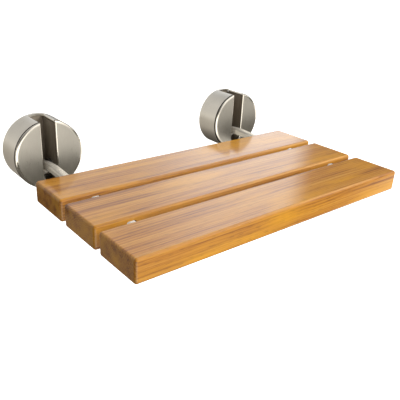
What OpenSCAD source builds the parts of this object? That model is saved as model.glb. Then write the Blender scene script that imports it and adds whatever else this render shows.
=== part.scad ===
// Fold-down shower seat: two round wall mounts, two arms and three wooden slats.
// X runs along the slats, the wall is the plane y = 0, the seat reaches out to -Y, Z is up.
// The origin is on the wall, midway between the mounts and level with their centres.
// The seat is drawn folded down. It folds up about the two hinge pins.

/* [Slats] */
// Length of each slat, along the wall
slat_l = 400; // [360:5:500]
// Width of each slat, out from the wall
slat_w = 64; // [54:1:80]
// Thickness of each slat
slat_t = 26.5; // [22:0.5:34]
// Drain gap between one slat and the next
slat_gap = 9; // [6:0.5:14]
// Rounding of the long edges of a slat
slat_edge_r = 3; // [1:0.5:5]
// Rounding of the upright corners of a slat
slat_corner_r = 4; // [1:0.5:8]

/* [Arms] */
// Distance between the two mounts, centre to centre
mount_spacing = 315; // [250:1:340]
// Width of an arm
arm_w = 11; // [9:0.5:13.5]
// Height of an arm
arm_h = 10; // [8:0.5:12]
// Rounding of the arm's upper edges
arm_edge_r = 2; // [1:0.25:3]
// Rounding of the arm's lower edges
arm_belly_r = 4; // [1:0.25:4]
// Height of the arm's top face below the mount's centre
arm_drop = 12; // [10:0.5:14]
// Wood left above the arm inside a slat
wood_over_arm = 5; // [4:0.5:8]
// How far the arm reaches into the front slat
arm_grip = 46; // [30:1:50]

/* [Wall mounts] */
// Outer radius of a cover
cover_r = 44; // [42:0.5:54]
// Depth of a cover, from the wall to its face
cover_d = 41.5; // [40:0.5:50]
// Wall thickness of a cover
cover_wall = 2.5; // [1.5:0.25:3]
// How far the rounded edge of a cover reaches in over its face
cover_edge_in = 4; // [1:0.25:4.5]
// How far the rounded edge of a cover reaches back along its side
cover_edge_back = 2.5; // [1:0.25:3]
// Width of the slot that the arm swings in
slot_w = 18.2; // [17:0.1:22]
// Depth of the closed rim behind the slot
rim_d = 5; // [5:0.25:7]
// Lowest point of the slot, below the mount's centre
slot_low = 34; // [32:0.5:38]
// Thickness of the bracket's wall plate
plate_t = 4; // [3:0.25:5]
// Thickness of each bracket cheek
cheek_t = 4; // [3:0.25:5]
// Pitch circle diameter of the wall screw holes
wall_pcd = 58; // [54:0.5:62]
// Number of wall screw holes
wall_holes = 4; // [4:2:6]
// Diameter of a wall screw hole
wall_hole_d = 5.5; // [4.5:0.1:6.5]

/* [Hinges] */
// Diameter of the hinge pin
pin_d = 8; // [6:0.5:8]
// Distance from the wall to the hinge pin
pin_out = 20; // [19:0.5:22]
// Height of the hinge pin below the mount's centre
pin_drop = 20; // [18:0.5:21]
// Wall thickness of the hinge bushes
bush_wall = 1; // [0.75:0.25:1.5]
// Outer radius of the bush flanges and of the friction washers
flange_r = 7.8; // [6.5:0.1:8]
// Thickness of a friction washer
washer_t = 0.6; // [0.4:0.1:1]
// Radius of the rounded end of the arm, about the hinge pin
heel_r = 10.5; // [10:0.5:11]
// Thickness of the rubber stop pad
pad_t = 3; // [2:0.25:4]
// Height of the stop toe below the arm's heel
toe_h = 8; // [6:0.5:9]

/* [Screws] */
// Thread diameter of the slat screws
slat_screw_d = 5; // [4:0.5:5]
// Head diameter of the slat screws
slat_screw_head_d = 9.5; // [8:0.5:10]
// How far a slat screw goes up into the arm
slat_screw_bite = 7; // [5:0.5:7]
// Thread diameter of the cover's grub screw
grub_d = 3; // [2.5:0.5:3]

/* [Clearances] */
// Radial clearance of a turning fit
run_clear = 0.05; // [0.02:0.01:0.08]
// Clearance between flat faces that turn past each other
side_clear = 0.35; // [0.3:0.05:0.6]
// Clearance round the arm inside a slat
mortise_clear = 0.25; // [0.15:0.05:0.4]
// Clearance between a cover and the bracket inside it
cover_clear = 0.4; // [0.3:0.05:0.6]
// Radial clearance round a screw thread
thread_clear = 0.05; // [0.03:0.01:0.1]
// Gap between the stop pad and the toe with the seat down
stop_gap = 0.1; // [0.05:0.05:0.2]
// Room between the covers and the back slat with the seat folded up
fold_clear = 9; // [6:1:40]

/* [Hidden] */
$fn = 64;
ARC_STEPS = 6;          // segments in a quarter-round corner
OVER = 1;               // how far a cut runs past the face it opens
slat_count = 3;         // back, middle and front

mount_x = mount_spacing / 2;
arm_top = -arm_drop;
arm_low = arm_top - arm_h;
arm_mid = (arm_top + arm_low) / 2;
slat_top = arm_top + wood_over_arm;
slat_low = slat_top - slat_t;
slat_pitch = slat_w + slat_gap;
seat_setback = pin_out + pin_drop + cover_r + fold_clear;
front_slat_back = -seat_setback - (slat_count - 1) * slat_pitch;
arm_tip = front_slat_back - arm_grip;

cover_inner_r = cover_r - cover_wall;
plate_r = cover_inner_r - cover_clear;
cheek_in = slot_w / 2;
cheek_out = cheek_in + cheek_t;
cheek_r = cover_inner_r - 2 * cover_clear;
cheek_front = -(cover_d - cover_wall - cover_clear);

pin_y = -pin_out;
pin_z = -pin_drop;
pin_r = pin_d / 2;
bore_r = pin_r + run_clear;
bush_r = bore_r + bush_wall;
flange_out = cheek_in - washer_t - side_clear;
pin_head_t = 2.5;
pin_head_r = pin_r + pin_head_t;
pin_tail = cheek_out + 3.5;
groove_r = pin_r - 0.8;
clip_t = 1;
clip_r = pin_r + 2.2;
clip_x = cheek_out + run_clear;
clip_mouth = 1.6 * groove_r;

toe_back = -(plate_t + pad_t);
toe_top = arm_low;
toe_low = toe_top - toe_h;
pad_inset = 1;          // the pad is this much smaller than the toe on every side

screw_head_t = (slat_screw_head_d - slat_screw_d) / 2;
screw_hex_r = slat_screw_d / 4;
screw_hex_h = 0.8 * screw_head_t;
grub_l = cover_wall + cover_clear;
grub_hex_r = 0.9;

// ---- shared shapes ----

// Points of a quarter of an ellipse round a centre, from the given angle on.
function corner(cx, cy, rx, ry, from) =
    [for (i = [0 : ARC_STEPS]) [cx + rx * cos(from + 90 * i / ARC_STEPS), cy + ry * sin(from + 90 * i / ARC_STEPS)]];
// Points of a rectangle centred on the origin: one rounding for its upper corners, one for its lower.
function round_rect(w, h, r, low_r) = concat(
    corner(w / 2 - r, h / 2 - r, r, r, 0),
    corner(-w / 2 + r, h / 2 - r, r, r, 90),
    corner(-w / 2 + low_r, -h / 2 + low_r, low_r, low_r, 180),
    corner(w / 2 - low_r, -h / 2 + low_r, low_r, low_r, 270)
);

// A cylinder along +Y or +X, starting at the origin.
module rod_y(r, l) { rotate([-90, 0, 0]) cylinder(r = r, h = l); }
module rod_x(r, l) { rotate([0, 90, 0]) cylinder(r = r, h = l); }

// The arm's bar between two places along Y, made larger by a gap at the sides and below.
module arm_bar(from, to, gap) {
    translate([0, from, arm_mid - gap / 2]) rotate([90, 0, 0]) linear_extrude(from - to)
        polygon(round_rect(arm_w + 2 * gap, arm_h + gap, arm_edge_r, arm_belly_r + gap));
}

// Puts a piece of a mount on the left (-1) or the right (1).
module at_mount(side) { translate([side * mount_x, 0, 0]) children(); }

// ---- wall mount pieces, drawn with the mount's centre at x = 0 ----

// The D-shaped cheek plates on both sides of the slot.
module cheeks() {
    intersection() {
        translate([0, cheek_front, 0]) rod_y(cheek_r, -cheek_front - plate_t / 2);
        for (side = [-1, 1])
            translate([side > 0 ? cheek_in : -cheek_out, cheek_front - OVER, -cover_r])
                cube([cheek_t, -cheek_front + OVER, 2 * cover_r]);
    }
}

module wall_bracket() {
    color([0.16, 0.14, 0.12])
    difference() {
        union() {
            translate([0, -plate_t, 0]) rod_y(plate_r, plate_t);
            cheeks();
        }
        for (i = [0 : wall_holes - 1])
            rotate([0, 360 / wall_holes * (i + 0.5), 0])
                translate([wall_pcd / 2, -plate_t - OVER, 0]) rod_y(wall_hole_d / 2, plate_t + 2 * OVER);
        translate([-cheek_out - OVER, pin_y, pin_z]) rod_x(bore_r, 2 * (cheek_out + OVER));
    }
}

// The slot as a solid: square at the top, round at the bottom.
module slot_cut() {
    round_z = -slot_low + slot_w / 2;
    translate([-slot_w / 2, -cover_d - OVER, round_z])
        cube([slot_w, cover_d + OVER - rim_d, cover_r + OVER - round_z]);
    translate([0, -cover_d - OVER, round_z]) rod_y(slot_w / 2, cover_d + OVER - rim_d);
}

module cover() {
    color([0.68, 0.65, 0.60])
    difference() {
        rotate([90, 0, 0]) rotate_extrude() polygon(concat(
            [[0, 0], [cover_r, 0]],
            corner(cover_r - cover_edge_in, cover_d - cover_edge_back, cover_edge_in, cover_edge_back, 0),
            [[0, cover_d]]
        ));
        translate([0, -cover_d + cover_wall, 0]) rod_y(cover_inner_r, cover_d);
        slot_cut();
        translate([0, -plate_t / 2, -cover_r - OVER])
            cylinder(r = grub_d / 2 + thread_clear, h = cover_wall + 2 * OVER);
    }
}

// Grub screw, flush in the underside of the cover, with a six-sided socket.
module cover_screw() {
    color([0.60, 0.60, 0.58])
    translate([0, -plate_t / 2, -plate_r - grub_l])
        difference() {
            cylinder(r = grub_d / 2, h = grub_l);
            translate([0, 0, -OVER]) cylinder(r = grub_hex_r, h = OVER + grub_l / 2, $fn = 6);
        }
}

// Hinge pin with a head at one end and a groove for its clip at the other.
module hinge_pin() {
    color([0.72, 0.72, 0.70])
    translate([0, pin_y, pin_z])
        difference() {
            union() {
                translate([-cheek_out - pin_head_t, 0, 0]) rod_x(pin_head_r, pin_head_t);
                translate([-cheek_out, 0, 0]) rod_x(pin_r, cheek_out + pin_tail);
            }
            translate([clip_x, 0, 0]) difference() {
                rod_x(pin_r + OVER, clip_t + 2 * run_clear);
                translate([-OVER, 0, 0]) rod_x(groove_r, clip_t + 2 * OVER);
            }
        }
}

// Open retaining ring in the pin's groove.
module pin_clip() {
    color([0.45, 0.45, 0.44])
    translate([clip_x + run_clear, pin_y, pin_z])
        difference() {
            rod_x(clip_r, clip_t);
            translate([-OVER, 0, 0]) rod_x(groove_r + run_clear, clip_t + 2 * OVER);
            translate([-OVER, -clip_mouth / 2, -clip_r - OVER])
                cube([clip_t + 2 * OVER, clip_mouth, clip_r + OVER]);
        }
}

// Thin steel washers against the inner faces of the cheeks.
module friction_washers() {
    color([0.62, 0.62, 0.60])
    for (side = [-1, 1])
        translate([side > 0 ? cheek_in - washer_t : -cheek_in, pin_y, pin_z])
            difference() {
                rod_x(flange_r, washer_t);
                translate([-OVER, 0, 0]) rod_x(bore_r, washer_t + 2 * OVER);
            }
}

// Rubber pad that the toe of the arm rests on with the seat down.
module stop_pad() {
    color([0.10, 0.10, 0.10])
    translate([-arm_w / 2 + pad_inset, toe_back + stop_gap, toe_low + pad_inset])
        cube([arm_w - 2 * pad_inset, pad_t - stop_gap, toe_h - 2 * pad_inset]);
}

// ---- seat pieces ----

// Flanged plastic bushes pressed into the arm from both sides.
module hinge_bushes() {
    color([0.86, 0.85, 0.80])
    for (side = [-1, 1])
        translate([0, pin_y, pin_z]) mirror([side > 0 ? 0 : 1, 0, 0])
            difference() {
                union() {
                    translate([run_clear, 0, 0]) rod_x(bush_r, arm_w / 2);
                    translate([arm_w / 2, 0, 0]) rod_x(flange_r, flange_out - arm_w / 2);
                }
                translate([-OVER, 0, 0]) rod_x(bore_r, flange_out + 2 * OVER);
            }
}

// Outline of the arm's rear end in the YZ plane: rounded heel, and the toe that meets the stop.
module heel_outline() {
    intersection() {
        translate([pin_y, pin_z]) circle(r = heel_r);
        translate([pin_y - heel_r, arm_top - 2 * heel_r]) square([2 * heel_r, 2 * heel_r]);
    }
    translate([pin_y, toe_low]) square([toe_back - pin_y, toe_h]);
}

module arm() {
    color([0.70, 0.69, 0.66])
    difference() {
        union() {
            arm_bar(pin_y, arm_tip, 0);
            translate([-arm_w / 2, 0, 0]) rotate([90, 0, 90]) linear_extrude(arm_w) heel_outline();
        }
        translate([-arm_w, pin_y, pin_z]) rod_x(bush_r, 2 * arm_w);
        for (i = [0 : slat_count - 1])
            translate([0, slat_mid(i), arm_low - OVER])
                cylinder(r = slat_screw_d / 2 + thread_clear, h = slat_screw_bite + thread_clear + OVER);
    }
}

// Middle of slat number i, counted from the wall.
function slat_mid(i) = -seat_setback - slat_w / 2 - i * slat_pitch;

// Countersunk screws from the underside of each slat up into the arm.
module slat_screws() {
    color([0.66, 0.66, 0.63])
    for (i = [0 : slat_count - 1])
        translate([0, slat_mid(i), slat_low])
            difference() {
                union() {
                    cylinder(r1 = slat_screw_head_d / 2, r2 = slat_screw_d / 2, h = screw_head_t);
                    cylinder(r = slat_screw_d / 2, h = arm_low - slat_low + slat_screw_bite);
                }
                translate([0, 0, -OVER]) cylinder(r = screw_hex_r, h = OVER + screw_hex_h, $fn = 6);
            }
}

// A slat lying along X with rounded edges, its middle at x = 0 and y = 0.
module slat_blank() {
    intersection() {
        translate([-slat_l / 2, 0, slat_low + slat_t / 2]) rotate([90, 0, 90])
            linear_extrude(slat_l) polygon(round_rect(slat_w, slat_t, slat_edge_r, slat_edge_r));
        translate([0, 0, slat_low - OVER])
            linear_extrude(slat_t + 2 * OVER)
                polygon(round_rect(slat_l, slat_w, slat_corner_r, slat_corner_r));
    }
}

// Slat i with its mortises for the arms and its screw holes. The front slat's mortises are blind.
module slat(i) {
    is_front = i == slat_count - 1;
    mortise_end = is_front ? arm_tip - mortise_clear : slat_mid(i) - slat_w / 2 - OVER;
    color([0.80, 0.53, 0.26])
    difference() {
        translate([0, slat_mid(i), 0]) slat_blank();
        for (side = [-1, 1]) at_mount(side) {
            arm_bar(slat_mid(i) + slat_w / 2 + OVER, mortise_end, mortise_clear);
            translate([0, slat_mid(i), slat_low - OVER])
                cylinder(r = slat_screw_d / 2 + mortise_clear, h = arm_low - slat_low + 2 * OVER);
            translate([0, slat_mid(i), slat_low])
                cylinder(r1 = slat_screw_head_d / 2 + thread_clear, r2 = slat_screw_d / 2 + thread_clear,
                    h = screw_head_t);
        }
    }
}

at_mount(-1) wall_bracket();  // left_wall_bracket
at_mount(1) wall_bracket();  // right_wall_bracket
at_mount(-1) cover();  // left_cover
at_mount(1) cover();  // right_cover
at_mount(-1) cover_screw();  // left_cover_screw
at_mount(1) cover_screw();  // right_cover_screw
at_mount(-1) hinge_pin();  // left_hinge_pin
at_mount(1) hinge_pin();  // right_hinge_pin
at_mount(-1) pin_clip();  // left_pin_clip
at_mount(1) pin_clip();  // right_pin_clip
at_mount(-1) friction_washers();  // left_friction_washers
at_mount(1) friction_washers();  // right_friction_washers
at_mount(-1) stop_pad();  // left_stop_pad
at_mount(1) stop_pad();  // right_stop_pad
at_mount(-1) hinge_bushes();  // left_hinge_bushes
at_mount(1) hinge_bushes();  // right_hinge_bushes
at_mount(-1) arm();  // left_arm
at_mount(1) arm();  // right_arm
at_mount(-1) slat_screws();  // left_slat_screws
at_mount(1) slat_screws();  // right_slat_screws
slat(0);  // back_slat
slat(1);  // middle_slat
slat(2);  // front_slat
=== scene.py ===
"""Fold-down shower seat: the looks of the slats, covers, arms, hinges and screws, and a small studio for it.

Lengths are in metres. X runs along the slats, the wall is the plane y = 0 and Z is up.
"""

import math

import bmesh
import bpy
from bpy.props import FloatProperty, FloatVectorProperty, PointerProperty
from mathutils import Matrix, Vector


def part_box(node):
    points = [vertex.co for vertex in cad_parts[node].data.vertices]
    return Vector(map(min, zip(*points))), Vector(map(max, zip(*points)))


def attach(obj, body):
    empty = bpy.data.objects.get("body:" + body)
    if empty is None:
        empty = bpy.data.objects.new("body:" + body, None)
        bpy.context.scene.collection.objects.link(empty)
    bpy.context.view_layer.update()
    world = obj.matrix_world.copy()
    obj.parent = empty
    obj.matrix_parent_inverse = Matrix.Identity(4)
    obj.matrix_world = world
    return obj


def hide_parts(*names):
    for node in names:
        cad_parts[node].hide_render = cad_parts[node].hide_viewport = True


bl_info = {
    "name": "Fold-down Shower Seat",
    "version": (1, 0, 0),
    "blender": (4, 5, 0),
    "location": "3D View > Sidebar > Shower Seat",
    "description": "Makes the slats, covers, arms, screws and finishes of a folding shower seat",
    "category": "Object",
}

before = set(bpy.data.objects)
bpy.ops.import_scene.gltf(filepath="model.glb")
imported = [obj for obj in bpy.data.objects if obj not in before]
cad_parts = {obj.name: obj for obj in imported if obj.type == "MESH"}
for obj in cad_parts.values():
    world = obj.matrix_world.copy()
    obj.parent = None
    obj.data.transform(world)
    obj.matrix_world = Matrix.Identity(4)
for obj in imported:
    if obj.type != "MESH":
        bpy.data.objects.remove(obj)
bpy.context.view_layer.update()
SIDES = ("left", "right")
SLATS = ("back", "middle", "front")
MM = 0.001
OVER = 1 * MM            # how far a cutter runs past the face it opens
HAIR = 0.01 * MM         # too little to see
WELD = 1e-6              # corners nearer to each other than this are one
FLAT = 0.998             # a normal nearer to an axis than this is a flat face's
SATIN, POLISH_AND_HIGHLIGHT, PAINTED_SHADE = range(3)          # a cover's finishes: satin, polished with a painted highlight, and painted shade

# Sizes that the frame's boxes don't give
ARM_HEIGHT = 10 * MM
ARM_EDGE = 2 * MM        # rounding of an arm's upper edges
ARM_BELLY = 4 * MM       # rounding of its lower edges
SLOT_WIDTH = 18.2 * MM
SLOT_LOW = 34 * MM       # lowest point of the slot, below the mount's centre
RIM = 5 * MM             # closed rim behind the slot
SLOT_BEND = -SLOT_LOW + SLOT_WIDTH / 2
SLOT_PAST = 0.3 * MM     # how far the slot's cutter runs past the face
SLOT_FLARE = 1.5 * MM    # how much wider it gets there
GROOVE_LEAN = 0.05 * MM  # how far the groove's front wall leans
PIN = Vector((0.0, -20 * MM, -20 * MM))     # the hinge
HEEL_RADIUS = 10.5 * MM
BAR_START = 11.5 * MM    # how far the bar reaches past the pin towards the wall
TOE_FRONT = 4 * MM       # front of the toe, ahead of the pin
TOE_LIFT = 0.3 * MM      # underside of the toe, above the heel's lowest point
BOW_PEAK = 10.5 * MM     # highest point of an arm, ahead of its cover
BOW_END = 3 * MM         # where an arm is straight again, behind the back slat
BUSH_RADIUS = 5.05 * MM
SCREW_HOLE = 2.55 * MM   # radius of the thread's hole in an arm
SCREW_BITE = 7.05 * MM   # how deep that hole is
SCREW_THREAD = 5 * MM    # diameter
HOLE_CLEAR = 0.2 * MM    # between a screw and the slat
HEAD_CLEAR = 0.1 * MM    # between a screw's head and its countersink
HEARTS = (               # where the heart of the tree lies from each slat's middle, from back to front
    Vector((0.31, 0.062, -0.085)),
    Vector((0.77, -0.055, -0.10)),
    Vector((1.33, 0.070, -0.075)),
)


# ---- sizes and colours ----

def length(name, text, default, low, high):
    """A length in metres that a user may change."""
    return FloatProperty(name=name, description=text, default=default, min=low, max=high, unit="LENGTH",
                         precision=5)


def share(name, text, default):
    """A value from 0 to 1."""
    return FloatProperty(name=name, description=text, default=default, min=0.0, max=1.0, subtype="FACTOR")


def colour(name, text, default):
    """A colour, as linear red, green and blue."""
    return FloatVectorProperty(name=name, description=text, default=(*default, 1.0), size=4, min=0.0, max=1.0,
                               subtype="COLOR")


class SlatSettings(bpy.types.PropertyGroup):
    """The wooden slats."""
    edge_round: length("Edge rounding", "Radius of every edge of a slat", 3.4 * MM, 0.5 * MM, 8 * MM)
    mortise_clear: length("Mortise clearance", "Gap round the arm where it enters a slat", 0.3 * MM, 0.0,
                          1 * MM)
    ring_pitch: length("Ring pitch", "Distance from one growth ring to the next", 2.6 * MM, 1 * MM, 10 * MM)
    pale: colour("Pale wood", "Early wood of a growth ring", (0.53, 0.262, 0.036))
    golden: colour("Golden wood", "Sunny patches of the heartwood", (0.60, 0.280, 0.008))
    middle: colour("Middle wood", "Colour of the wood between its rings", (0.42, 0.170, 0.014))
    dark: colour("Dark wood", "Late wood of a growth ring and the darkest fibres", (0.165, 0.050, 0.005))
    varnish_rough: share("Varnish roughness", "How blurred reflections in the varnish are", 0.11)


class CoverSettings(bpy.types.PropertyGroup):
    """The round covers."""
    wall: length("Wall", "Thickness of a cover", 2.5 * MM, 1 * MM, 4 * MM)
    edge_in: length("Edge, over the face", "How far the polished edge reaches in over the face", 4 * MM,
                    1 * MM, 6 * MM)
    edge_back: length("Edge, along the side", "How far the polished edge reaches back along the side",
                      2.5 * MM, 1 * MM, 4 * MM)
    groove: length("Shadow groove", "Width of the groove behind the polished edge", 1.6 * MM, 0.2 * MM,
                   3 * MM)
    groove_deep: length("Groove depth", "Depth of the groove behind the polished edge", 1.3 * MM, 0.2 * MM,
                        1.5 * MM)
    slot_round: length("Slot rounding", "Radius of the polished edge round the slot", 1.7 * MM, 0.2 * MM,
                       2 * MM)
    nickel: colour("Nickel", "Satin nickel of the covers", (0.62, 0.595, 0.54))
    rough: share("Satin roughness", "How blurred reflections in the satin nickel are", 0.30)
    edge_rough: share("Edge roughness", "How blurred reflections in the polished edges are", 0.12)


class ArmSettings(bpy.types.PropertyGroup):
    """The bowed arms."""
    rise: length("Rise", "How far an arm bows up between its mount and the slats", 1.7 * MM, 0.0, 4 * MM)
    bow: length("Heel bow", "Radius of the bow over the hinge", 180 * MM, 120 * MM, 1000 * MM)
    edge: length("Upper edges", "Radius of an arm's upper edges", ARM_EDGE, 0.5 * MM, 3 * MM)
    belly: length("Lower edges", "Radius of an arm's lower edges", ARM_BELLY, 0.5 * MM, 5 * MM)
    steel: colour("Steel", "Satin steel of the arms", (0.77, 0.74, 0.67))
    rough: share("Satin roughness", "How blurred reflections in the satin steel are", 0.26)


class StudioSettings(bpy.types.PropertyGroup):
    """The floor, lights and camera."""
    floor_drop: length("Floor drop", "How far the floor lies below the middle of the mounts", 1.0, 0.1, 3.0)
    floor_reach: length("Floor reach", "Radius of the flat floor round the seat", 6.0, 1.0, 20.0)
    lens: FloatProperty(name="Lens", description="Focal length of the camera, in millimetres", default=47.04,
                        min=10.0, max=200.0)
    key_power: FloatProperty(name="Key light", description="Power of the key light", default=18.0, min=0.0,
                             max=500.0, unit="POWER")


# ---- node helpers ----

def grey(value):
    """A grey of the given lightness."""
    return (value, value, value, 1.0)


def times(tint, factor):
    """A colour made darker or lighter."""
    return (*(min(1.0, factor * part) for part in tint[:3]), 1.0)


def add_node(tree, kind, inputs=None, **values):
    """Adds a node, sets its properties, and gives each named or numbered input a value or a link."""
    made = tree.nodes.new(kind)
    for key, value in values.items():
        setattr(made, key, value)
    for key, value in (inputs or {}).items():
        if isinstance(value, bpy.types.NodeSocket):
            tree.links.new(value, made.inputs[key])
        else:
            made.inputs[key].default_value = value
    return made


def math_node(tree, operation, *inputs):
    """The result of one arithmetic step in a shader or geometry tree."""
    return add_node(tree, "ShaderNodeMath", dict(enumerate(inputs)), operation=operation).outputs[0]


def vector_node(tree, operation, *inputs):
    """The result of one vector step in a shader or geometry tree."""
    made = add_node(tree, "ShaderNodeVectorMath", dict(enumerate(inputs)), operation=operation)
    return made.outputs["Value" if operation in ("LENGTH", "DOT_PRODUCT", "DISTANCE") else "Vector"]


def ramp(tree, value, stops, interpolation="LINEAR"):
    """A colour ramp with (place, colour) stops."""
    made = add_node(tree, "ShaderNodeValToRGB", {0: value})
    made.color_ramp.interpolation = interpolation
    elements = made.color_ramp.elements
    while len(elements) < len(stops):
        elements.new(0.5)
    for element, (place, tint) in zip(elements, sorted(stops, key=lambda stop: stop[0])):
        element.position = place
        element.color = tint
    return made.outputs[0]


def spread(tree, value, low, high, to_low=0.0, to_high=1.0):
    """Maps low..high to to_low..to_high in a straight line, and holds the ends."""
    made = add_node(tree, "ShaderNodeMapRange", {0: value, 1: low, 2: high, 3: to_low, 4: to_high})
    return made.outputs[0]


def noise(tree, vector, scale, detail=2.0, rough=0.5):
    """A noise value on a vector."""
    made = add_node(tree, "ShaderNodeTexNoise", {"Vector": vector, "Scale": scale, "Detail": detail,
                                                 "Roughness": rough})
    return made.outputs[0]


def scaled(tree, vector, x, y, z):
    """A vector stretched along its axes."""
    return vector_node(tree, "MULTIPLY", vector, (x, y, z))


def new_material(name, metallic=0.0, roughness=0.5, base=None, **sockets):
    """A material with a Principled shader, and its tree, shader and object coordinates."""
    made = bpy.data.materials.new(name)
    made.use_nodes = True
    tree = made.node_tree
    tree.nodes.clear()
    shader = add_node(tree, "ShaderNodeBsdfPrincipled", {"Metallic": metallic, "Roughness": roughness})
    if base:
        shader.inputs["Base Color"].default_value = base
    for key, value in sockets.items():
        shader.inputs[key.replace("_", " ")].default_value = value
    add_node(tree, "ShaderNodeOutputMaterial", {"Surface": shader.outputs[0]})
    place = add_node(tree, "ShaderNodeTexCoord").outputs["Object"]
    return made, tree, shader, place


def bump(tree, shader, height, distance, strength=1.0, socket="Normal"):
    """Raises the surface by a height value."""
    made = add_node(tree, "ShaderNodeBump", {"Height": height, "Distance": distance, "Strength": strength})
    tree.links.new(made.outputs[0], shader.inputs[socket])


# ---- materials ----

def varnished_wood(s):
    """Golden wood under a glossy varnish. The grain attribute holds where each point lies from the heart."""
    made, tree, shader, place = new_material(
        "varnished_wood", roughness=0.5, Coat_Weight=1.0, Coat_Roughness=s.varnish_rough, Coat_IOR=1.5,
        Specular_IOR_Level=0.12)
    grain = add_node(tree, "ShaderNodeAttribute", attribute_name="grain").outputs["Vector"]

    # growth rings, which wander along the slat
    drift = noise(tree, scaled(tree, grain, 5.0, 30.0, 30.0), 1.0, 3.0)
    across = vector_node(tree, "LENGTH", scaled(tree, grain, 0.0, 1.0, 1.0))
    across = math_node(tree, "MULTIPLY_ADD", drift, 11 * MM, across)
    ring = math_node(tree, "FRACT", math_node(tree, "DIVIDE", across, s.ring_pitch))
    ring = ramp(tree, ring, [(0.0, grey(0.7)), (0.3, grey(1.0)), (0.75, grey(0.6)), (0.93, grey(0.1)),
                             (1.0, grey(0.7))])

    # broad bands, fine fibres and golden patches
    band = noise(tree, scaled(tree, grain, 2.5, 90.0, 90.0), 1.0, 3.0)
    fibre = noise(tree, scaled(tree, grain, 9.0, 620.0, 620.0), 1.0, 4.0, 0.65)
    tone = math_node(tree, "MULTIPLY_ADD", ring, 0.20, math_node(tree, "MULTIPLY", fibre, 0.75))
    tone = math_node(tree, "MULTIPLY_ADD", band, 0.75, tone)
    body = ramp(tree, spread(tree, tone, 0.64, 1.13), [(0.0, s.dark), (0.5, s.middle), (1.0, s.pale)])
    patch = noise(tree, scaled(tree, grain, 7.0, 38.0, 38.0), 1.0, 2.0)
    golden = add_node(tree, "ShaderNodeMix", {"Factor": spread(tree, patch, 0.48, 0.66, 0.0, 0.75), 6: body,
                                              7: s.golden}, data_type="RGBA").outputs[2]

    # pores, and ends that are darker and soak up varnish
    pore = noise(tree, scaled(tree, grain, 80.0, 2400.0, 2400.0), 1.0, 0.0)
    pores = spread(tree, pore, 0.66, 0.76, 1.0, 0.6)
    facing = add_node(tree, "ShaderNodeTexCoord").outputs["Normal"]
    end = math_node(tree, "ABSOLUTE", add_node(tree, "ShaderNodeSeparateXYZ", {0: facing}).outputs[0])
    shade = math_node(tree, "MULTIPLY", pores, spread(tree, end, 0.3, 0.95, 1.0, 0.62))
    tint = vector_node(tree, "SCALE", golden)
    tree.links.new(shade, tint.node.inputs["Scale"])
    tree.links.new(tint, shader.inputs["Base Color"])
    tree.links.new(spread(tree, end, 0.5, 0.95, 1.0, 0.35), shader.inputs["Coat Weight"])

    bump(tree, shader, fibre, 0.05 * MM, 0.6)
    waves = noise(tree, scaled(tree, place, 25.0, 70.0, 70.0), 1.0, 2.0)
    bump(tree, shader, waves, 0.06 * MM, 0.5, "Coat Normal")
    return made


def satin_metal(name, base, rough, grain_mm=0.35, lines=(1.0, 1.0, 0.04), metallic=1.0, relief=0.012):
    """Satin metal with fine lines left by brushing."""
    made, tree, shader, place = new_material(name, metallic, rough, base)
    pitch = 1.0 / (grain_mm * MM)
    line = noise(tree, scaled(tree, place, *(pitch * c for c in lines)), 1.0, 2.0, 0.6)
    cloud = noise(tree, place, 45.0, 2.0)
    rough_value = math_node(tree, "MULTIPLY_ADD", line, 0.10, rough - 0.08)
    tree.links.new(math_node(tree, "MULTIPLY_ADD", cloud, 0.06, rough_value), shader.inputs["Roughness"])
    tint = ramp(tree, math_node(tree, "MULTIPLY_ADD", cloud, 0.5, math_node(tree, "MULTIPLY", line, 0.5)),
                [(0.25, times(base, 0.88)), (0.75, times(base, 1.06))])
    tree.links.new(tint, shader.inputs["Base Color"])
    bump(tree, shader, line, relief * MM, 0.8)
    return made


def dark_casting():
    """A dark brown satin colour, with faint clouds and grit, on the brackets inside the covers."""
    made, tree, shader, place = new_material("dark_casting", 0.0, 0.42, (0.17, 0.145, 0.11, 1))
    grit = noise(tree, place, 1400.0, 2.0)
    cloud = noise(tree, scaled(tree, place, 60.0, 60.0, 12.0), 1.0, 2.0)
    tree.links.new(ramp(tree, cloud, [(0.3, (0.16, 0.135, 0.102, 1)), (0.7, (0.25, 0.218, 0.175, 1))]),
                   shader.inputs["Base Color"])
    tree.links.new(spread(tree, grit, 0.3, 0.7, 0.34, 0.5), shader.inputs["Roughness"])
    bump(tree, shader, grit, 0.02 * MM)
    return made


def plastic(name, low, high, rough, grit_size):
    """Moulded nylon or rubber with a fine skin."""
    made, tree, shader, place = new_material(name, 0.0, rough, high)
    grit = noise(tree, place, 1.0 / grit_size, 2.0)
    tree.links.new(ramp(tree, grit, [(0.3, low), (0.7, high)]), shader.inputs["Base Color"])
    tree.links.new(spread(tree, grit, 0.3, 0.7, rough - 0.06, rough + 0.06), shader.inputs["Roughness"])
    bump(tree, shader, grit, 0.02 * MM)
    return made


# ---- mesh helpers ----

def new_piece(name, mesh, *materials):
    """An object at the origin that shows a mesh."""
    mesh.name = name
    made = bpy.data.objects.new(name, mesh)
    bpy.context.scene.collection.objects.link(made)
    mesh.materials.clear()
    for material in materials:
        mesh.materials.append(material)
    return made


def evaluated_mesh(piece):
    """The piece's mesh with its modifiers applied."""
    graph = bpy.context.evaluated_depsgraph_get()
    return bpy.data.meshes.new_from_object(piece.evaluated_get(graph), depsgraph=graph)


def combine(piece, operation, others):
    """Joins the other objects to the piece or takes them away from it, and removes them."""
    for other in others:
        modifier = piece.modifiers.new("combine", "BOOLEAN")
        modifier.operation = operation
        modifier.solver = "EXACT"
        modifier.object = other
    mesh = evaluated_mesh(piece)
    piece.modifiers.clear()
    piece.data = mesh
    for other in others:
        bpy.data.objects.remove(other)


def cut(piece, cutters):
    """Takes the cutters away from the piece, and removes them."""
    combine(piece, "DIFFERENCE", cutters)


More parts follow.
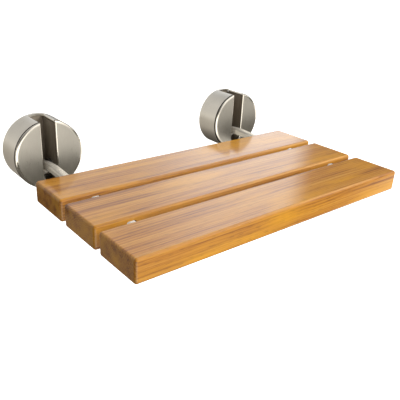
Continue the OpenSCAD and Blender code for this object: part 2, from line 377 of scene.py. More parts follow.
def object_of(bm, name):
    """A plain object from a bmesh, with its normals outward."""
    bmesh.ops.recalc_face_normals(bm, faces=bm.faces)
    mesh = bpy.data.meshes.new(name)
    bm.to_mesh(mesh)
    bm.free()
    made = bpy.data.objects.new(name, mesh)
    bpy.context.scene.collection.objects.link(made)
    return made


def loft(name, axis, levels):
    """A solid through (place, outline) levels along X, Y or Z, with outlines in YZ, XZ or XY."""
    def place(a, b, c):
        return {"X": (c, a, b), "Y": (a, c, b), "Z": (a, b, c)}[axis]
    bm = bmesh.new()
    rings = [[bm.verts.new(place(a, b, c)) for a, b in outline] for c, outline in levels]
    count = len(rings[0])
    bm.faces.new(rings[0])
    bm.faces.new(rings[-1])
    for low, high in zip(rings, rings[1:]):
        for i in range(count):
            j = (i + 1) % count
            bm.faces.new((low[i], low[j], high[j], high[i]))
    return object_of(bm, name)


def prism(name, outline, axis, low, high):
    """A solid with the same outline all along its axis."""
    return loft(name, axis, [(low, outline), (high, outline)])


def arc(cx, cy, radius, start, end, steps):
    """Points on an arc, with angles in degrees."""
    angles = [math.radians(start + (end - start) * i / steps) for i in range(steps + 1)]
    return [(cx + radius * math.cos(a), cy + radius * math.sin(a)) for a in angles]


def circle(cx, cy, radius, steps):
    """Points all the way round a circle."""
    return arc(cx, cy, radius, 0, 360 - 360 / steps, steps - 1)


def lathe(profile, steps, centre, axis):
    """A bmesh that turns (radius, height) points about an axis, +Y or +Z, through a centre."""
    bm = bmesh.new()
    rings = []
    for radius, height in profile:
        if radius < WELD:
            turns = [0.0]
        else:
            turns = [2 * math.pi * i / steps for i in range(steps)]
        ring = []
        for turn in turns:
            a, b = radius * math.sin(turn), radius * math.cos(turn)
            offset = Vector((a, height, b)) if axis == "Y" else Vector((a, b, height))
            ring.append(bm.verts.new(centre + offset))
        rings.append(ring)
    for low, high in zip(rings, rings[1:]):
        for i in range(steps):
            j = (i + 1) % steps
            corners = [low[i % len(low)], low[j % len(low)], high[j % len(high)], high[i % len(high)]]
            corners = list(dict.fromkeys(corners))
            if len(corners) > 2:
                bm.faces.new(corners)
    for ring in (rings[0], rings[-1]):
        if len(ring) > 2:
            bm.faces.new(ring)
    return bm


def welded(mesh):
    """A bmesh of the mesh, with the corners that lie on each other made one."""
    bm = bmesh.new()
    bm.from_mesh(mesh)
    bmesh.ops.remove_doubles(bm, verts=bm.verts, dist=WELD)
    return bm


def smooth(mesh, angle):
    """Smooth shading with edges over the angle, in degrees, kept sharp."""
    mesh.shade_smooth()
    mesh.set_sharp_from_angle(angle=math.radians(angle))


def hide(piece, *rays):
    """Hides a piece from some kinds of rays."""
    for ray in rays:
        setattr(piece, f"visible_{ray}", False)


def even_normals(piece, angle):
    """Smooth shading in which large faces look flat, and only the roundings beside them look curved."""
    smooth(piece.data, angle)
    modifier = piece.modifiers.new("normals", "WEIGHTED_NORMAL")
    modifier.keep_sharp = True
    piece.data = evaluated_mesh(piece)
    piece.modifiers.clear()


# ---- geometry node trees ----

def new_tree(name, inputs):
    """A geometry tree with named inputs, as (name, kind, default), and its input and output nodes."""
    tree = bpy.data.node_groups.new(name, "GeometryNodeTree")
    tree.interface.new_socket("Geometry", in_out="OUTPUT", socket_type="NodeSocketGeometry")
    for label, kind, default in inputs:
        socket = tree.interface.new_socket(label, in_out="INPUT", socket_type="NodeSocket" + kind)
        if default is not None:
            socket.default_value = default
    return tree, tree.nodes.new("NodeGroupInput").outputs, tree.nodes.new("NodeGroupOutput").inputs


def end_tree(tree, geometry, finish, result):
    """Ends a tree in real, finished geometry."""
    real = add_node(tree, "GeometryNodeRealizeInstances", {"Geometry": geometry})
    done = add_node(tree, "GeometryNodeSetMaterial", {"Geometry": real.outputs[0], "Material": finish})
    tree.links.new(done.outputs[0], result["Geometry"])


def grow(name, tree, values):
    """Runs a tree with its inputs set by identifier, and gives the plain mesh that it makes."""
    holder = bpy.data.objects.new(name + "_holder", bpy.data.meshes.new(name + "_holder"))
    bpy.context.scene.collection.objects.link(holder)
    modifier = holder.modifiers.new("grow", "NODES")
    modifier.node_group = tree
    for item in tree.interface.items_tree:
        if item.item_type == "SOCKET" and item.in_out == "INPUT" and item.name in values:
            modifier[item.identifier] = values[item.name]
    mesh = evaluated_mesh(holder)
    bpy.data.objects.remove(holder)
    return mesh


def board_tree():
    """A board with every edge rounded: the points of a divided cube are spread over faces and roundings."""
    steps = 6                      # points from a flat face to its neighbour's
    flat = 1 / (2 * steps + 1)     # share of the cube's side that becomes the flat face
    tree, given, result = new_tree("rounded_board", [
        ("Centre", "Vector", None), ("Size", "Vector", None), ("Rounding", "Float", 3 * MM),
        ("Finish", "Material", None)])
    count = 2 * steps + 2
    cube = add_node(tree, "GeometryNodeMeshCube", {"Size": (2.0, 2.0, 2.0), "Vertices X": count,
                                                   "Vertices Y": count, "Vertices Z": count})
    place = add_node(tree, "GeometryNodeInputPosition").outputs[0]
    sign = vector_node(tree, "SIGN", place)
    reach = vector_node(tree, "ABSOLUTE", place)
    turn = vector_node(tree, "SUBTRACT", reach, (flat,) * 3)
    turn = vector_node(tree, "MAXIMUM", turn, (0.0,) * 3)
    turn = vector_node(tree, "MULTIPLY", turn, (math.pi / 4 / (1 - flat),) * 3)
    lean = vector_node(tree, "MULTIPLY", vector_node(tree, "TANGENT", turn), sign)
    core = vector_node(tree, "MULTIPLY", given["Size"], (0.5, 0.5, 0.5))
    round_off = add_node(tree, "ShaderNodeCombineXYZ", {0: given["Rounding"], 1: given["Rounding"],
                                                        2: given["Rounding"]}).outputs[0]
    core = vector_node(tree, "MULTIPLY", vector_node(tree, "SUBTRACT", core, round_off), sign)
    skin = vector_node(tree, "MULTIPLY", vector_node(tree, "NORMALIZE", lean), round_off)
    point = vector_node(tree, "ADD", vector_node(tree, "ADD", core, skin), given["Centre"])
    moved = add_node(tree, "GeometryNodeSetPosition", {"Geometry": cube.outputs[0], "Position": point})
    end_tree(tree, moved.outputs[0], given["Finish"], result)
    return tree


def screw_row_tree():
    """Countersunk screws with a six-sided socket, in a row along Y under the slats."""
    tree, given, result = new_tree("slat_screw_row", [
        ("First", "Vector", None), ("Step", "Vector", None), ("Count", "Int", 3),
        ("Head diameter", "Float", 9.5 * MM), ("Thread diameter", "Float", SCREW_THREAD),
        ("Length", "Float", 20 * MM), ("Finish", "Material", None)])
    thread_r = math_node(tree, "MULTIPLY", given["Thread diameter"], 0.5)
    head_r = math_node(tree, "MULTIPLY", given["Head diameter"], 0.5)
    head_h = math_node(tree, "SUBTRACT", head_r, thread_r)
    head = add_node(tree, "GeometryNodeMeshCone", {"Vertices": 40, "Radius Top": thread_r,
                                                   "Radius Bottom": head_r, "Depth": head_h}).outputs[0]
    shank = add_node(tree, "GeometryNodeMeshCylinder", {"Vertices": 32, "Radius": thread_r,
                                                        "Depth": given["Length"]}).outputs[0]
    half = math_node(tree, "MULTIPLY", given["Length"], 0.5)
    lift = add_node(tree, "ShaderNodeCombineXYZ", {2: half}).outputs[0]
    shank = add_node(tree, "GeometryNodeTransform", {"Geometry": shank, "Translation": lift}).outputs[0]
    body = add_node(tree, "GeometryNodeMeshBoolean", {"Mesh 2": head}, operation="UNION", solver="EXACT")
    tree.links.new(shank, body.inputs["Mesh 2"])
    hex_r = math_node(tree, "MULTIPLY", given["Thread diameter"], 0.3)
    hex_h = math_node(tree, "MULTIPLY", head_h, 1.7)
    key = add_node(tree, "GeometryNodeMeshCylinder", {"Vertices": 6, "Radius": hex_r,
                                                      "Depth": hex_h}).outputs[0]
    socket = add_node(tree, "GeometryNodeMeshBoolean", {"Mesh 1": body.outputs[0], "Mesh 2": key},
                      operation="DIFFERENCE", solver="EXACT")
    row = add_node(tree, "GeometryNodeMeshLine", {"Count": given["Count"], "Start Location": given["First"],
                                                  "Offset": given["Step"]})
    screws = add_node(tree, "GeometryNodeInstanceOnPoints", {"Points": row.outputs[0],
                                                             "Instance": socket.outputs[0]})
    end_tree(tree, screws.outputs[0], given["Finish"], result)
    return tree


def arm_tree():
    """A bar along a path from the hinge to the front slat, bowed over the hinge and straight in the slats."""
    tree, given, result = new_tree("bowed_bar", [
        ("Start", "Vector", None), ("Length", "Float", 300 * MM), ("Peak", "Float", 40 * MM),
        ("Bow end", "Float", 80 * MM), ("Rise", "Float", 1.7 * MM), ("Bow radius", "Float", 180 * MM),
        ("Width", "Float", 11 * MM), ("Height", "Float", ARM_HEIGHT), ("Upper edge", "Float", ARM_EDGE),
        ("Lower edge", "Float", ARM_BELLY), ("Finish", "Material", None)])
    away = math_node(tree, "MULTIPLY", given["Length"], -1.0)
    end = add_node(tree, "ShaderNodeCombineXYZ", {1: away}).outputs[0]
    line = add_node(tree, "GeometryNodeCurvePrimitiveLine", {"End": end}).outputs[0]
    line = add_node(tree, "GeometryNodeResampleCurve", {"Curve": line, "Count": 120}).outputs[0]
    place = add_node(tree, "GeometryNodeInputPosition").outputs[0]
    along = math_node(tree, "MULTIPLY", add_node(tree, "ShaderNodeSeparateXYZ", {0: place}).outputs[1], -1.0)
    before = math_node(tree, "MAXIMUM", math_node(tree, "SUBTRACT", given["Peak"], along), 0.0)
    fall = math_node(tree, "DIVIDE", math_node(tree, "MULTIPLY", before, before),
                     math_node(tree, "MULTIPLY", given["Bow radius"], 2.0))
    ease = add_node(tree, "ShaderNodeMapRange", {0: along, 1: given["Peak"], 2: given["Bow end"],
                                                 3: given["Rise"], 4: 0.0},
                    interpolation_type="SMOOTHSTEP").outputs[0]
    lift = add_node(tree, "ShaderNodeCombineXYZ", {2: math_node(tree, "SUBTRACT", ease, fall)}).outputs[0]
    point = vector_node(tree, "ADD", vector_node(tree, "ADD", place, lift), given["Start"])
    path = add_node(tree, "GeometryNodeSetPosition", {"Geometry": line, "Position": point}).outputs[0]
    path = add_node(tree, "GeometryNodeSetCurveNormal", {"Curve": path}, mode="Z_UP").outputs[0]
    box = add_node(tree, "GeometryNodeCurvePrimitiveQuadrilateral", {"Width": given["Width"],
                                                                     "Height": given["Height"]}).outputs[0]
    corner = add_node(tree, "GeometryNodeInputPosition").outputs[0]
    corner_height = add_node(tree, "ShaderNodeSeparateXYZ", {0: corner}).outputs[1]
    is_upper = math_node(tree, "GREATER_THAN", corner_height, 0.0)
    radius = add_node(tree, "ShaderNodeMapRange", {0: is_upper, 3: given["Lower edge"],
                                                   4: given["Upper edge"]}).outputs[0]
    section = add_node(tree, "GeometryNodeFilletCurve", {"Curve": box, "Count": 8, "Radius": radius},
                       mode="POLY").outputs[0]
    bar = add_node(tree, "GeometryNodeCurveToMesh", {"Curve": path, "Profile Curve": section,
                                                     "Fill Caps": True}).outputs[0]
    end_tree(tree, bar, given["Finish"], result)
    return tree


# ---- pieces ----

def box_of(node):
    """Lowest corner, highest corner and middle of a CAD node."""
    low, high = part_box(node)
    return low, high, (low + high) / 2


class SHOWER_SEAT_OT_slats(bpy.types.Operator):
    """Make the three wooden slats, with mortises for the arms and holes for the screws"""
    bl_idname = "shower_seat.slats"
    bl_label = "Slats"

    def execute(self, context):
        s = context.scene.seat_slats
        wood = varnished_wood(s)
        tree = board_tree()
        for heart, name in zip(HEARTS, SLATS):
            self.make_slat(heart, name, tree, wood, s)
        return {"FINISHED"}

    def make_slat(self, heart, name, tree, wood, s):
        """One slat, sawn with the heart of the tree at the given place from its middle."""
        node = f"{name}_slat"
        low, high, middle = box_of(node)
        mesh = grow(node, tree, {"Centre": middle, "Size": high - low, "Rounding": s.edge_round,
                                 "Finish": wood})
        piece = new_piece(f"{name}_slat_wood", mesh, wood)
        cutters = []
        for side in SIDES:
            cutters += [self.mortise(side, low, high, s), self.screw_hole(side, low, middle)]
        cut(piece, cutters)
        grain = piece.data.attributes.new("grain", "FLOAT_VECTOR", "POINT")
        for vertex, value in zip(piece.data.vertices, grain.data):
            value.vector = vertex.co - middle - heart
        even_normals(piece, 35)
        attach(piece, "seat")
        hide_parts(node)
        hide(piece, "glossy")

    def mortise(self, side, low, high, s):
        """The space that an arm and its clearance take in a slat. It is blind in the front slat."""
        arm_low, arm_high, arm_middle = box_of(f"{side}_arm")
        half_width = (arm_high.x - arm_low.x) / 2 + s.mortise_clear
        half_height = ARM_HEIGHT / 2 + s.mortise_clear
        height = arm_high.z - ARM_HEIGHT / 2
        corners = ((1, 1, 0, ARM_EDGE), (-1, 1, 90, ARM_EDGE), (-1, -1, 180, ARM_BELLY),
                   (1, -1, 270, ARM_BELLY))
        outline = []
        for across, up, start, radius in corners:
            centre_x = arm_middle.x + across * (half_width - radius)
            centre_z = height + up * (half_height - radius)
            outline += arc(centre_x, centre_z, radius, start, start + 90, 5)
        deep = max(low.y - OVER, arm_low.y - s.mortise_clear)
        return prism("mortise", outline, "Y", deep, high.y + OVER)

    def screw_hole(self, side, low, middle):
        """The countersunk hole for a screw, from under a slat up into its mortise."""
        _, arm_high, arm_middle = box_of(f"{side}_arm")
        screw_low, screw_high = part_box(f"{side}_slat_screws")
        head = (screw_high.x - screw_low.x) / 2 + HEAD_CLEAR
        hole = SCREW_HOLE + HOLE_CLEAR
        top = arm_high.z - ARM_HEIGHT / 2 - low.z
        profile = [(0.0, -OVER), (head + OVER, -OVER), (head, 0.0), (hole, head - hole), (hole, top),
                   (0.0, top)]
        return object_of(lathe(profile, 32, Vector((arm_middle.x, middle.y, low.z)), "Z"), "screw_hole")


class SHOWER_SEAT_OT_covers(bpy.types.Operator):
    """Make the two round slotted covers"""
    bl_idname = "shower_seat.covers"
    bl_label = "Covers"

    def execute(self, context):
        s = context.scene.seat_covers
        satin = satin_metal("satin_nickel", tuple(s.nickel), s.rough)
        # the polished edges, painted lighter than the satin nickel as a highlight
        polished = satin_metal("polished_nickel_edge_and_highlight", (0.80, 0.765, 0.695, 1), s.edge_rough, relief=0.002)
        # painted shade: a near-black colour for the groove and the last of the rounded edge
        shadow = satin_metal("groove_painted_shadow", (0.03, 0.026, 0.02, 1), 0.6, metallic=0.0)
        for side in SIDES:
            self.make_cover(side, satin, polished, shadow, s)
        return {"FINISHED"}

    def make_cover(self, side, satin, polished, shadow, s):
        """One cover: a turned cap with a rounded edge and a shadow groove, and the slot cut out of it. Its
        groove gets painted shade and its polished edges a painted highlight.
        """
        node = f"{side}_cover"
        low, high, middle = box_of(node)
        radius = (high.x - low.x) / 2
        depth = high.y - low.y
        inner = radius - s.wall
        behind = -depth + s.edge_back
        floor = radius - s.groove_deep
        profile = [(0.0, -depth)]
        profile += [(radius - s.edge_in + a * s.edge_in, behind + b * s.edge_back)
                    for a, b in arc(0.0, 0.0, 1.0, -90, 0, 10)]
        profile += [(floor, behind + GROOVE_LEAN), (floor, behind + s.groove), (radius, behind + s.groove),
                    (radius, 0.0), (inner, 0.0), (inner, -depth + s.wall), (0.0, -depth + s.wall)]
        bm = lathe(profile, 120, Vector((middle.x, 0.0, 0.0)), "Y")
        bmesh.ops.dissolve_limit(bm, angle_limit=0.001, verts=bm.verts, edges=bm.edges)
        piece = object_of(bm, "cover")
        levels = [(-RIM, self.slot_outline(middle.x, radius, 0.0, s))]
        for wider, y in arc(s.slot_round, -depth + s.slot_round, s.slot_round, 180, 260, 5):
            levels.append((y, self.slot_outline(middle.x, radius, wider, s)))
        outermost = self.slot_outline(middle.x, radius, s.slot_round + SLOT_FLARE, s)
        levels.append((-depth - SLOT_PAST, outermost))
        cut(piece, [loft("slot", "Y", levels)])
        bm = welded(piece.data)
        bm.to_mesh(piece.data)
        bm.free()
        even_normals(piece, 40)
        made = new_piece(f"{side}_cover_shell", piece.data, satin, polished, shadow)
        # each face gets the satin, the polished edge with its painted highlight, or the painted shade
        for face in made.data.polygons:
            face.material_index = self.finish_or_painted_light_of(face, middle.x, radius, depth, s)
        bpy.data.objects.remove(piece)
        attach(made, "wall_mounts")
        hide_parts(node)

    def slot_outline(self, x, radius, wider, s):
        """The slot from the front: round at the bottom, and open at the top between two rounded corners."""
        half = SLOT_WIDTH / 2 + wider
        top = math.sqrt(radius ** 2 - (half + s.slot_round) ** 2)
        corner = arc(half + s.slot_round, top - s.slot_round, s.slot_round, 180, 104, 5)
        across, up = corner[-1]
        beside = across + 2 * MM
        corner += [(beside, up + 0.5 * MM), (beside, radius + OVER)]
        outline = [(-a, b) for a, b in reversed(corner)] + arc(0.0, SLOT_BEND, half, 180, 360, 24) + corner
        return [(x + a, b) for a, b in outline]

    def finish_or_painted_light_of(self, face, x, radius, depth, s):
        """Which finish, painted highlight or painted shade a face of the cover gets, from where it lies."""
        centre, normal = face.center, face.normal
        across, up = centre.x - x, centre.z
        reach = math.hypot(across, up)
        edge_back = -depth + s.edge_back
        past_edge = centre.y - edge_back
        in_groove = radius - 1.2 * s.groove_deep < reach < radius - 0.2 * s.groove_deep
        # painted shade: the faces in the groove get a near-black colour
        if 0 < past_edge < s.groove + HAIR and in_groove:
            return PAINTED_SHADE
        # painted shade: the last of the rounded edge gets the groove's near-black colour, as it turns away
        # from the light as the groove does
        if -0.3 * s.edge_back < past_edge < 0 and reach > radius - 0.2 * s.edge_in:
            return PAINTED_SHADE
        # the rounded edge: polished, with a painted highlight in its lighter nickel
        if past_edge < 0 and reach > radius - s.edge_in and abs(normal.y) < FLAT:
            return POLISH_AND_HIGHLIGHT
        # the roundings along the slot: polished, with the same painted highlight
        from_middle = abs(across) if up > SLOT_BEND else math.hypot(across, up - SLOT_BEND)
        off_slot = from_middle - SLOT_WIDTH / 2
        if HAIR < off_slot < 2 * s.slot_round and centre.y < -RIM:
            on_face = centre.y < -depth + s.slot_round and 0.02 < abs(normal.y) < FLAT
            on_rim = up > radius - 3.5 * MM and reach < radius - 0.05 * MM and 0.05 < normal.z < 0.999
            if on_face or on_rim:
                return POLISH_AND_HIGHLIGHT
        return SATIN


class SHOWER_SEAT_OT_arms(bpy.types.Operator):
    """Make the two bowed arms, with their heels, hinge bores and screw holes"""
    bl_idname = "shower_seat.arms"
    bl_label = "Arms"

    def execute(self, context):
        s = context.scene.seat_arms
        satin = satin_metal("satin_steel", tuple(s.steel), s.rough, lines=(1.0, 0.03, 1.0), metallic=0.35)
        # the upper rounded edges: polished, and painted lighter and more metallic than the satin steel as a
        # highlight
        bright = satin_metal("polished_steel_edge_and_highlight", (0.86, 0.83, 0.77, 1), 0.24, lines=(1.0, 0.03, 1.0),
                             metallic=0.55, relief=0.003)
        tree = arm_tree()
        for side in SIDES:
            self.make_arm(side, tree, satin, bright, s)
        return {"FINISHED"}

    def make_arm(self, side, tree, satin, bright, s):
        """One arm: a bowed bar joined to its heel, then bored for the hinge and the screws."""
        node = f"{side}_arm"
        low, high, middle = box_of(node)
        bow_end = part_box("back_slat")[1].y + BOW_END
        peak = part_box(f"{side}_cover")[0].y - BOW_PEAK
        start = PIN.y + BAR_START
        mesh = grow(node, tree, {
            "Start": Vector((middle.x, start, high.z - ARM_HEIGHT / 2)), "Length": start - low.y,
            "Peak": start - peak, "Bow end": start - bow_end, "Rise": s.rise, "Bow radius": s.bow,
            "Width": high.x - low.x, "Height": ARM_HEIGHT, "Upper edge": s.edge, "Lower edge": s.belly,
            "Finish": satin})
        piece = object_of(welded(mesh), "bar")
        combine(piece, "UNION", [self.heel(middle.x, low, high, peak, s)])
        bore = circle(PIN.y, PIN.z, BUSH_RADIUS, 40)
        holes = [prism("bore", bore, "X", low.x - OVER, high.x + OVER)]
        for name in SLATS:
            place = box_of(f"{name}_slat")[2]
            hole = circle(middle.x, place.y, SCREW_HOLE, 24)
            bottom = high.z - ARM_HEIGHT
            holes.append(prism("screw_hole", hole, "Z", bottom - OVER, bottom + SCREW_BITE))
        cut(piece, holes)
        made = new_piece(f"{side}_arm_bar", piece.data, satin, bright)
        bpy.data.objects.remove(piece)
        # painted highlight: the faces of the upper rounded edges get the lighter steel
        for face in made.data.polygons:
            normal, centre = face.normal, face.center
            is_bar = abs(centre.x - middle.x) > (high.x - low.x) / 2 - s.edge
            face.material_index = int(is_bar and 0.2 < abs(normal.x) < 0.97 and normal.z > 0.1)
        even_normals(made, 35)
        hide(made, "glossy")
        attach(made, "seat")
        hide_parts(node)

    def heel(self, x, low, high, peak, s):
        """The rounded heel round the hinge pin, with the toe that bears on the stop pad."""
        outline = []
        for y, z in arc(PIN.y, PIN.z, HEEL_RADIUS, -90, 240, 60):
            roof = high.z + s.rise - s.edge - (y - peak) ** 2 / (2 * s.bow)
            outline.append((y, min(z, roof)))
        outline = [point for i, point in enumerate(outline) if point != outline[i - 1]]
        bottom = outline[0][1]
        front, under, top = PIN.y - TOE_FRONT, bottom + TOE_LIFT, high.z - ARM_HEIGHT
        toe = [(front, under), (high.y, under), (high.y, top), (front, top)]
        half = (high.x - low.x) / 2
        made = prism("heel", outline, "X", x - half, x + half)
        combine(made, "UNION", [prism("toe", toe, "X", x - half, x + half)])
        return made


class SHOWER_SEAT_OT_slat_screws(bpy.types.Operator):
    """Make the countersunk screws under the slats"""
    bl_idname = "shower_seat.slat_screws"
    bl_label = "Slat screws"

    def execute(self, context):
        steel = satin_metal("screw_steel", (0.58, 0.57, 0.55, 1), 0.28)
        tree = screw_row_tree()
        first = box_of("back_slat")[2]
        last = box_of("front_slat")[2]
        step = (last - first) / (len(SLATS) - 1)
        for side in SIDES:
            low, high, middle = box_of(f"{side}_slat_screws")
            mesh = grow(f"{side}_slat_screws", tree, {
                "First": Vector((middle.x, first.y, low.z)), "Step": Vector((0.0, step.y, 0.0)),
                "Count": len(SLATS), "Head diameter": high.x - low.x, "Thread diameter": SCREW_THREAD,
                "Length": high.z - low.z, "Finish": steel})
            piece = new_piece(f"{side}_slat_screw_row", mesh, steel)
            smooth(piece.data, 30)
            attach(piece, "seat")
            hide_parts(f"{side}_slat_screws")
        return {"FINISHED"}


class SHOWER_SEAT_OT_finishes(bpy.types.Operator):
    """Give the brackets, stop pads and hinge pieces their finishes"""
    bl_idname = "shower_seat.finishes"
    bl_label = "Brackets and hinges"

    def execute(self, context):
        pin_steel = satin_metal("pin_steel", (0.60, 0.59, 0.56, 1), 0.25)
        spring = satin_metal("spring_steel", grey(0.20), 0.4)
        finishes = {
            "wall_bracket": dark_casting(),
            "cover_screw": pin_steel,
            "hinge_pin": pin_steel,
            "pin_clip": spring,
            "friction_washers": pin_steel,
            "stop_pad": plastic("rubber", grey(0.02), grey(0.05), 0.7, 0.4 * MM),
            "hinge_bushes": plastic("nylon", (0.055, 0.050, 0.042, 1), (0.085, 0.078, 0.066, 1), 0.45,
                                    0.6 * MM),
        }
        for side in SIDES:
            for part, finish in finishes.items():
                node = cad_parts[f"{side}_{part}"]
                for slot in node.material_slots:
                    slot.material = finish
        return {"FINISHED"}


class SHOWER_SEAT_OT_studio(bpy.types.Operator):
    """Make the floor, the soft light and the camera"""
    bl_idname = "shower_seat.studio"
    bl_label = "Studio"

    def execute(self, context):
        s = context.scene.seat_studio
        self.make_floor(s)
        self.make_sky(context.scene)
        self.make_flags()
        self.make_key_light(s)
        self.make_camera(context.scene, s)
        context.scene.view_settings.view_transform = "Standard"
        return {"FINISHED"}

    def make_floor(self, s):
        """A pale floor that curves up into a dome, seen by the camera only."""
        sweep = 3.0          # radius of the curve between the flat floor and the dome
        far = s.floor_reach + sweep
        start = sweep - s.floor_drop
        profile = [(0.0, -s.floor_drop)]
        profile += arc(s.floor_reach, start, sweep, -90, 0, 12)
        profile += arc(0.0, start, far, 0, 90, 12)[1:-1] + [(0.0, start + far)]
        shell = object_of(lathe(profile, 64, Vector(), "Z"), "studio_shell")
        mesh = shell.data
        mesh.shade_smooth()
        bpy.data.objects.remove(shell)
        pale = new_material("studio_white", 0.0, 0.9, grey(0.9), Emission_Color=grey(1.0),
                            Emission_Strength=0.75)[0]
        floor = new_piece("studio_floor", mesh, pale)
        hide(floor, "diffuse", "glossy", "transmission", "shadow")

    def make_sky(self, scene):
        """A room of soft light, darker below, with windows that the metal and the varnish mirror."""
        world = bpy.data.worlds.new("studio_room")
        scene.world = world
        world.use_nodes = True
        tree = world.node_tree
        tree.nodes.clear()
        look = vector_node(tree, "NORMALIZE", add_node(tree, "ShaderNodeTexCoord").outputs["Generated"])
        height = add_node(tree, "ShaderNodeSeparateXYZ", {0: look}).outputs[2]
        rise = math_node(tree, "MULTIPLY", math_node(tree, "ARCSINE", height), 180 / math.pi)
        light = ramp(tree, spread(tree, height, -1.0, 1.0), [
            (0.0, (0.08, 0.07, 0.055, 1)), (0.3, (0.09, 0.08, 0.065, 1)), (0.5, (0.15, 0.14, 0.12, 1)),
            (0.72, (0.17, 0.16, 0.15, 1)), (0.9, (0.50, 0.49, 0.47, 1)), (1.0, (0.58, 0.57, 0.55, 1))])
        windows = {
            # azimuth from and to with their softness, elevation from and to with its softness, light
            "back left, low": (-85, 20, 3, 20, -34, -4, 16, (0.36, 0.33, 0.29)),
            "back left, high": (-85, 20, 2, 12, 4, 40, 14, (0.56, 0.545, 0.52)),
            "left corner": (-62, 12, -34, 12, -30, 40, 14, (0.22, 0.21, 0.19)),
            "tops": (12, 8, 50, 3, 8, 38, 5, (0.84, 0.86, 0.88)),
            "tops, right": (43, 12, 50, 3, 8, 38, 5, (0.95, 1.0, 1.06)),
            "front high": (112, 20, 178, 20, 12, 44, 8, (1.15, 1.12, 1.06)),
            "front low": (138, 14, 238, 14, -44, 4, 10, (0.69, 0.66, 0.61)),
            "front edges": (176, 12, 226, 10, -40, -4, 10, (1.2, 1.14, 1.03)),
            "slat edges": (62, 12, 128, 12, 38, 60, 8, (1.5, 1.35, 1.15)),
            "left slot edge": (80, 12, 116, 8, -38, -8, 8, (1.3, 1.22, 1.1)),
        }
        for left, soft_left, right, soft_right, low, high, soft, glow in windows.values():
            middle = math.radians((left + right) / 2)
            half = (right - left) / 2
            ahead = vector_node(tree, "DOT_PRODUCT", look, (math.sin(middle), math.cos(middle), 0.0))
            aside = vector_node(tree, "DOT_PRODUCT", look, (math.cos(middle), -math.sin(middle), 0.0))
            turn = math_node(tree, "MULTIPLY", math_node(tree, "ARCTAN2", aside, ahead), 180 / math.pi)
            mask = self.step(tree, turn, -half - soft_left, -half)
            for angle, start, end in ((turn, half + soft_right, half), (rise, low - soft, low),
                                      (rise, high + soft, high)):
                mask = math_node(tree, "MULTIPLY", mask, self.step(tree, angle, start, end))
            add = vector_node(tree, "SCALE", glow)
            tree.links.new(mask, add.node.inputs["Scale"])
            light = vector_node(tree, "ADD", light, add)
        back = add_node(tree, "ShaderNodeBackground", {"Color": light, "Strength": 1.0})
        add_node(tree, "ShaderNodeOutputWorld", {"Surface": back.outputs[0]})

    def step(self, tree, value, start, end):
        """0 before the start and 1 past the end, smoothly between."""
        return add_node(tree, "ShaderNodeMapRange", {0: value, 1: start, 2: end},
                        interpolation_type="SMOOTHSTEP").outputs[0]

    def make_flags(self):
        """Dark cards low in front of the covers, for reflections only: they shade the faces downwards."""
        dark = new_material("flag_grey", 0.0, 1.0, (0.02, 0.018, 0.015, 1), Specular_IOR_Level=0.0,
                            Emission_Color=(1.0, 0.93, 0.78, 1.0), Emission_Strength=0.11)[0]
        # from and to across the cover, and how far out, for each side
        cards = {"left": (-80 * MM, 80 * MM, 92 * MM), "right": (8 * MM, 170 * MM, 112 * MM)}
        bottom, top = -37 * MM, -36 * MM
        for side in SIDES:
            low, _, middle = box_of(f"{side}_cover")
            start, end, deep = cards[side]
            near, far = low.y - 2 * MM, low.y - deep
            outline = [(middle.x + start, near), (middle.x + end, near), (middle.x + end, far),
                       (middle.x + start, far)]
            flag = prism(f"studio_flag_{side}", outline, "Z", bottom, top)
            flag.data.materials.append(dark)
            hide(flag, "camera", "diffuse", "transmission", "shadow")

    def make_key_light(self, s):
        """One large soft light at the front right, which metal and varnish don't mirror."""
        data = bpy.data.lights.new("key_light", "AREA")
        data.shape = "RECTANGLE"
        data.size = 0.6
        data.size_y = 0.6
        data.energy = s.key_power
        data.color = (1.0, 0.97, 0.93)
        lamp = bpy.data.objects.new("key_light", data)
        bpy.context.scene.collection.objects.link(lamp)
        place = Vector((0.74, -1.35, 0.74))
        aim = Vector((0.0, -0.15, 0.0))
        lamp.location = place
        lamp.rotation_euler = (aim - place).to_track_quat("-Z", "Y").to_euler()
        hide(lamp, "camera", "glossy")

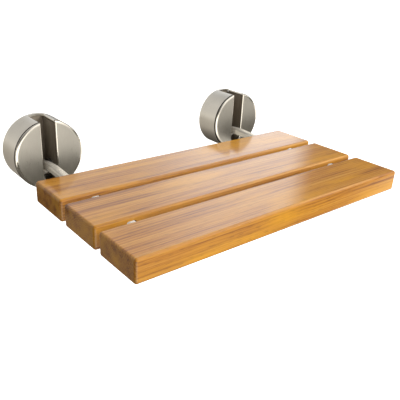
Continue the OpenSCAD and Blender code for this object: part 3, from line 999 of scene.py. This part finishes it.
    def make_camera(self, scene, s):
        """The camera stands front left, a little above the seat, and leans by a few degrees."""
        place = (-0.4073, -0.6294, 0.2253)
        yaw, pitch, roll = math.radians(40.19), math.radians(24.26), math.radians(3.08)
        ahead = Vector((math.sin(yaw) * math.cos(pitch), math.cos(yaw) * math.cos(pitch), -math.sin(pitch)))
        level = Vector((math.cos(yaw), -math.sin(yaw), 0.0))
        upright = level.cross(ahead)
        right = math.cos(roll) * level + math.sin(roll) * upright
        up = -math.sin(roll) * level + math.cos(roll) * upright
        data = bpy.data.cameras.new("camera")
        data.sensor_width = 36.0
        data.lens = s.lens
        data.clip_start = 0.05
        data.clip_end = 100.0
        camera = bpy.data.objects.new("camera", data)
        scene.collection.objects.link(camera)
        turn = Matrix((right, up, -ahead)).transposed()
        camera.matrix_world = Matrix.Translation(place) @ turn.to_4x4()
        scene.camera = camera


SETTINGS = {
    "seat_slats": SlatSettings,
    "seat_covers": CoverSettings,
    "seat_arms": ArmSettings,
    "seat_studio": StudioSettings,
}

OPERATORS = (
    SHOWER_SEAT_OT_slats,
    SHOWER_SEAT_OT_covers,
    SHOWER_SEAT_OT_arms,
    SHOWER_SEAT_OT_slat_screws,
    SHOWER_SEAT_OT_finishes,
    SHOWER_SEAT_OT_studio,
)


class VIEW3D_PT_shower_seat(bpy.types.Panel):
    """Lists the seat's pieces and settings"""
    bl_label = "Shower Seat"
    bl_idname = "VIEW3D_PT_shower_seat"
    bl_space_type = "VIEW_3D"
    bl_region_type = "UI"
    bl_category = "Shower Seat"

    def draw(self, context):
        for operator in OPERATORS:
            self.layout.operator(operator.bl_idname)
        for group in SETTINGS:
            box = self.layout.box()
            settings = getattr(context.scene, group)
            for name in settings.__annotations__:
                box.prop(settings, name)


def register():
    """Registers the classes and hangs the settings on the scene."""
    for cls in (*SETTINGS.values(), *OPERATORS, VIEW3D_PT_shower_seat):
        bpy.utils.register_class(cls)
    for name, cls in SETTINGS.items():
        setattr(bpy.types.Scene, name, PointerProperty(type=cls))


def unregister():
    """Takes the settings and classes away again."""
    for name in SETTINGS:
        delattr(bpy.types.Scene, name)
    for cls in reversed((*SETTINGS.values(), *OPERATORS, VIEW3D_PT_shower_seat)):
        bpy.utils.unregister_class(cls)


def main():
    """Makes every piece."""
    register()
    bpy.ops.shower_seat.slats()
    bpy.ops.shower_seat.covers()
    bpy.ops.shower_seat.arms()
    bpy.ops.shower_seat.slat_screws()
    bpy.ops.shower_seat.finishes()
    bpy.ops.shower_seat.studio()


if __name__ == "__main__":
    main()
